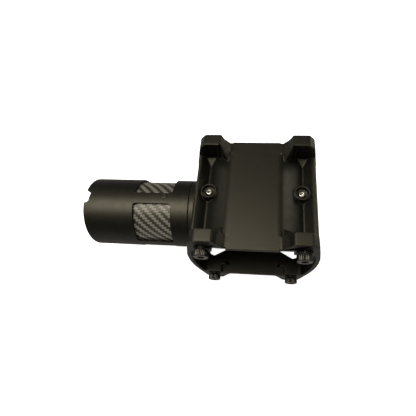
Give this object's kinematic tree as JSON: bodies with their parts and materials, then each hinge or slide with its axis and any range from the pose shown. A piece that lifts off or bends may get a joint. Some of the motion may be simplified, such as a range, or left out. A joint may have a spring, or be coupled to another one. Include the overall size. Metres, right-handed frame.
{
  "type": "handlebar stem",
  "caption": "Handlebar stem: a windowed sleeve over a carbon tube joined to a hollow square box head with corner lugs, socket cap screws and ribbed face.",
  "frame": {"origin": "under the middle of the part's bounding box, on the surface that the lower lugs stand on; the tube's axis crosses the head's passage 27.4 mm along +X, 1.7 mm along +Y and 34.4 mm up from it", "axes": "+X along the tube from its open end to the head, +Y along the head's open passage away from the end that holds the cap screws, +Z out of the face with the valleys and the middle band"},
  "size_m": [0.1192, 0.0594, 0.0674],
  "materials": {
    "head_black": "satin black coating over cast aluminium, slightly warm",
    "sleeve_black": "satin black hard anodising over turned aluminium",
    "carbon_weave": "clear-coated carbon twill weave",
    "bare_aluminium": "machined",
    "black_oxide": "black oxide, oiled, knurled",
    "bright_steel": "bright zinc, machined"
  },
  "bodies": {
    "head": {"head_shell": "head_black", "tube_sleeve": "sleeve_black", "carbon_tube": "carbon_weave", "tube_spigot": "bare_aluminium", "tube_liner": "sleeve_black", "sleeve_rivet": "sleeve_black", "tie_post_left": "bare_aluminium", "post_screw_upper_left": "bright_steel", "thread_insert_near_upper_left": "black_oxide", "thread_insert_far_upper_left": "black_oxide", "post_screw_lower_left": "bright_steel", "thread_insert_near_lower_left": "black_oxide", "thread_insert_far_lower_left": "black_oxide", "tie_post_right": "bare_aluminium", "post_screw_upper_right": "bright_steel", "thread_insert_near_upper_right": "black_oxide", "thread_insert_far_upper_right": "black_oxide", "post_screw_lower_right": "bright_steel", "thread_insert_near_lower_right": "black_oxide", "thread_insert_far_lower_right": "black_oxide"},
    "washer_upper_left": {"lock_washer_upper_left": "black_oxide"},
    "screw_upper_left": {"cap_screw_upper_left": "black_oxide"},
    "washer_lower_left": {"lock_washer_lower_left": "black_oxide"},
    "screw_lower_left": {"cap_screw_lower_left": "black_oxide"},
    "washer_upper_right": {"lock_washer_upper_right": "black_oxide"},
    "screw_upper_right": {"cap_screw_upper_right": "black_oxide"},
    "washer_lower_right": {"lock_washer_lower_right": "black_oxide"},
    "screw_lower_right": {"cap_screw_lower_right": "black_oxide"}
  },
  "joints": [
    {"name": "back_out_upper_left", "type": "slide", "parent": "head", "child": "washer_upper_left", "axis": [0, -1, 0], "range_m": [0, 0.0075]},
    {"name": "turn_upper_left", "type": "hinge", "parent": "washer_upper_left", "child": "screw_upper_left", "pos_m": [0.005, -0.02831, 0.0577], "axis": [0, -1, 0], "range_deg": [0, 3858]},
    {"name": "back_out_lower_left", "type": "slide", "parent": "head", "child": "washer_lower_left", "axis": [0, -1, 0], "range_m": [0, 0.0075]},
    {"name": "turn_lower_left", "type": "hinge", "parent": "washer_lower_left", "child": "screw_lower_left", "pos_m": [0.005, -0.02831, 0.0111], "axis": [0, -1, 0], "range_deg": [0, 3858]},
    {"name": "back_out_upper_right", "type": "slide", "parent": "head", "child": "washer_upper_right", "axis": [0, -1, 0], "range_m": [0, 0.0075]},
    {"name": "turn_upper_right", "type": "hinge", "parent": "washer_upper_right", "child": "screw_upper_right", "pos_m": [0.0498, -0.02831, 0.0577], "axis": [0, -1, 0], "range_deg": [0, 3858]},
    {"name": "back_out_lower_right", "type": "slide", "parent": "head", "child": "washer_lower_right", "axis": [0, -1, 0], "range_m": [0, 0.0075]},
    {"name": "turn_lower_right", "type": "hinge", "parent": "washer_lower_right", "child": "screw_lower_right", "pos_m": [0.0498, -0.02831, 0.0111], "axis": [0, -1, 0], "range_deg": [0, 3858]}
  ],
  "couplings": [
    {"joint": "turn_upper_left", "follows": "back_out_upper_left", "rad_per_m": 8976},
    {"joint": "turn_lower_left", "follows": "back_out_lower_left", "rad_per_m": 8976},
    {"joint": "turn_upper_right", "follows": "back_out_upper_right", "rad_per_m": 8976},
    {"joint": "turn_lower_right", "follows": "back_out_lower_right", "rad_per_m": 8976}
  ]
}
